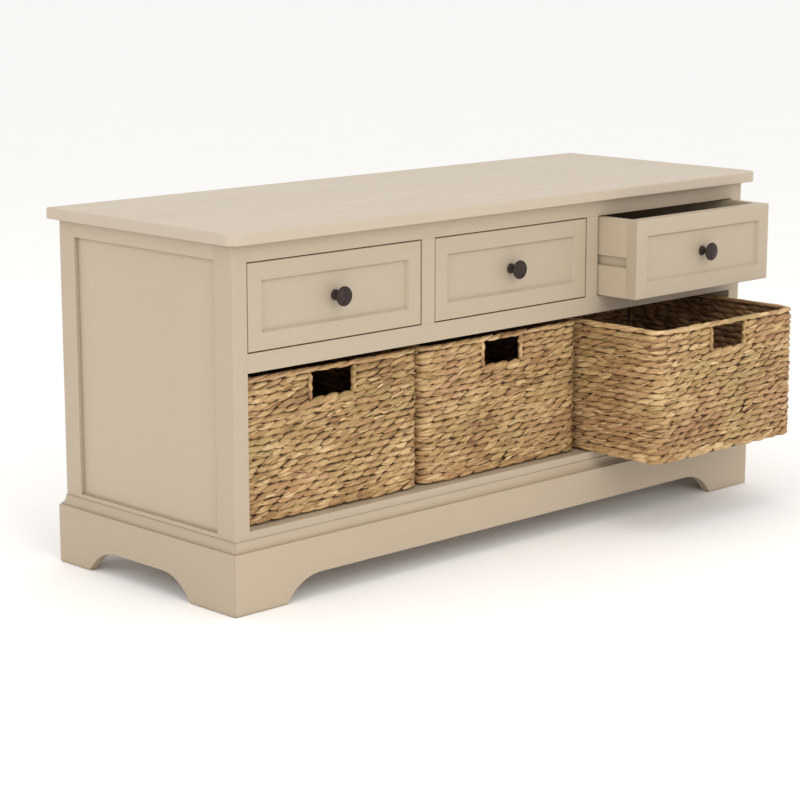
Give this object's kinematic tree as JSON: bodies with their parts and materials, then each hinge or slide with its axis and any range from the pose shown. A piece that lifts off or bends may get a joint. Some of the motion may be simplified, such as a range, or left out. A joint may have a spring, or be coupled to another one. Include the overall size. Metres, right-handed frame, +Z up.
{
  "type": "entryway bench",
  "caption": "Low entryway storage bench with a flat seat top, a row of inset panelled drawers with round knobs, woven pull-out baskets below and a bracket-foot plinth.",
  "frame": {"origin": "on the floor, at the middle of the part's footprint with the right-hand drawer and basket pulled out", "axes": "+X to the right as seen from the front, front towards -Y, +Z up"},
  "size_m": [1.0668, 0.5068, 0.5004],
  "materials": {
    "cream_paint": "satin cream paint over wood and board",
    "cream_paint_top": "satin cream paint, smooth",
    "cream_paint_plinth": "satin cream paint over moulded wood",
    "cream_paint_drawer_box": "satin cream paint",
    "inner_board": "plain fibreboard, brown",
    "runner_hardwood": "bare hardwood, waxed",
    "dark_bronze": "dark bronze, satin",
    "zinc_screw": "zinc plated steel",
    "hyacinth_weave": "twisted dried water hyacinth, woven",
    "hyacinth_rim": "braided dried water hyacinth",
    "basket_wire": "dark painted steel wire",
    "nylon_glide": "brown nylon"
  },
  "bodies": {
    "bench": {"back_panel": "inner_board", "basket_shelf": "cream_paint", "board_cleats": "inner_board", "corner_blocks": "inner_board", "cove_front": "cream_paint_plinth", "cove_side_left": "cream_paint_plinth", "cove_side_right": "cream_paint_plinth", "drawer_deck": "inner_board", "drawer_partition_left": "cream_paint", "drawer_partition_right": "cream_paint", "drawer_runners": "runner_hardwood", "drawer_stops": "inner_board", "face_bottom_rail": "cream_paint", "face_middle_rail": "cream_paint", "face_top_rail": "cream_paint", "foot_glides": "nylon_glide", "front_post_left": "cream_paint", "front_post_right": "cream_paint", "plinth_front": "cream_paint_plinth", "plinth_side_left": "cream_paint_plinth", "plinth_side_right": "cream_paint_plinth", "rear_post_left": "cream_paint", "rear_post_right": "cream_paint", "seat_top": "cream_paint_top", "side_bottom_rail_left": "cream_paint", "side_bottom_rail_right": "cream_paint", "side_panel_left": "cream_paint", "side_panel_right": "cream_paint", "side_top_rail_left": "cream_paint", "side_top_rail_right": "cream_paint"},
    "drawer_left": {"drawer_left_bottom": "inner_board", "drawer_left_front": "cream_paint", "drawer_left_knob": "dark_bronze", "drawer_left_knob_screw": "zinc_screw", "drawer_left_rear_wall": "cream_paint_drawer_box", "drawer_left_side_left": "cream_paint_drawer_box", "drawer_left_side_right": "cream_paint_drawer_box"},
    "basket_left": {"basket_left_rim": "hyacinth_rim", "basket_left_weave": "hyacinth_weave", "basket_left_wire": "basket_wire"},
    "drawer_centre": {"drawer_centre_bottom": "inner_board", "drawer_centre_front": "cream_paint", "drawer_centre_knob": "dark_bronze", "drawer_centre_knob_screw": "zinc_screw", "drawer_centre_rear_wall": "cream_paint_drawer_box", "drawer_centre_side_left": "cream_paint_drawer_box", "drawer_centre_side_right": "cream_paint_drawer_box"},
    "basket_centre": {"basket_centre_rim": "hyacinth_rim", "basket_centre_weave": "hyacinth_weave", "basket_centre_wire": "basket_wire"},
    "drawer_right": {"drawer_right_bottom": "inner_board", "drawer_right_front": "cream_paint", "drawer_right_knob": "dark_bronze", "drawer_right_knob_screw": "zinc_screw", "drawer_right_rear_wall": "cream_paint_drawer_box", "drawer_right_side_left": "cream_paint_drawer_box", "drawer_right_side_right": "cream_paint_drawer_box"},
    "basket_right": {"basket_right_rim": "hyacinth_rim", "basket_right_weave": "hyacinth_weave", "basket_right_wire": "basket_wire"}
  },
  "joints": [
    {"name": "drawer_left_slide", "type": "slide", "parent": "bench", "child": "drawer_left", "axis": [0, -1, 0], "range_m": [0, 0.2395]},
    {"name": "drawer_centre_slide", "type": "slide", "parent": "bench", "child": "drawer_centre", "axis": [0, -1, 0], "range_m": [0, 0.2395]},
    {"name": "drawer_right_slide", "type": "slide", "parent": "bench", "child": "drawer_right", "axis": [0, -1, 0], "range_m": [-0.074, 0.1655]},
    {"name": "basket_left_slide", "type": "slide", "parent": "bench", "child": "basket_left", "axis": [0, -1, 0], "range_m": [0, 0.36]},
    {"name": "basket_centre_slide", "type": "slide", "parent": "bench", "child": "basket_centre", "axis": [0, -1, 0], "range_m": [0, 0.36]},
    {"name": "basket_right_slide", "type": "slide", "parent": "bench", "child": "basket_right", "axis": [0, -1, 0], "range_m": [-0.15, 0.21]}
  ]
}
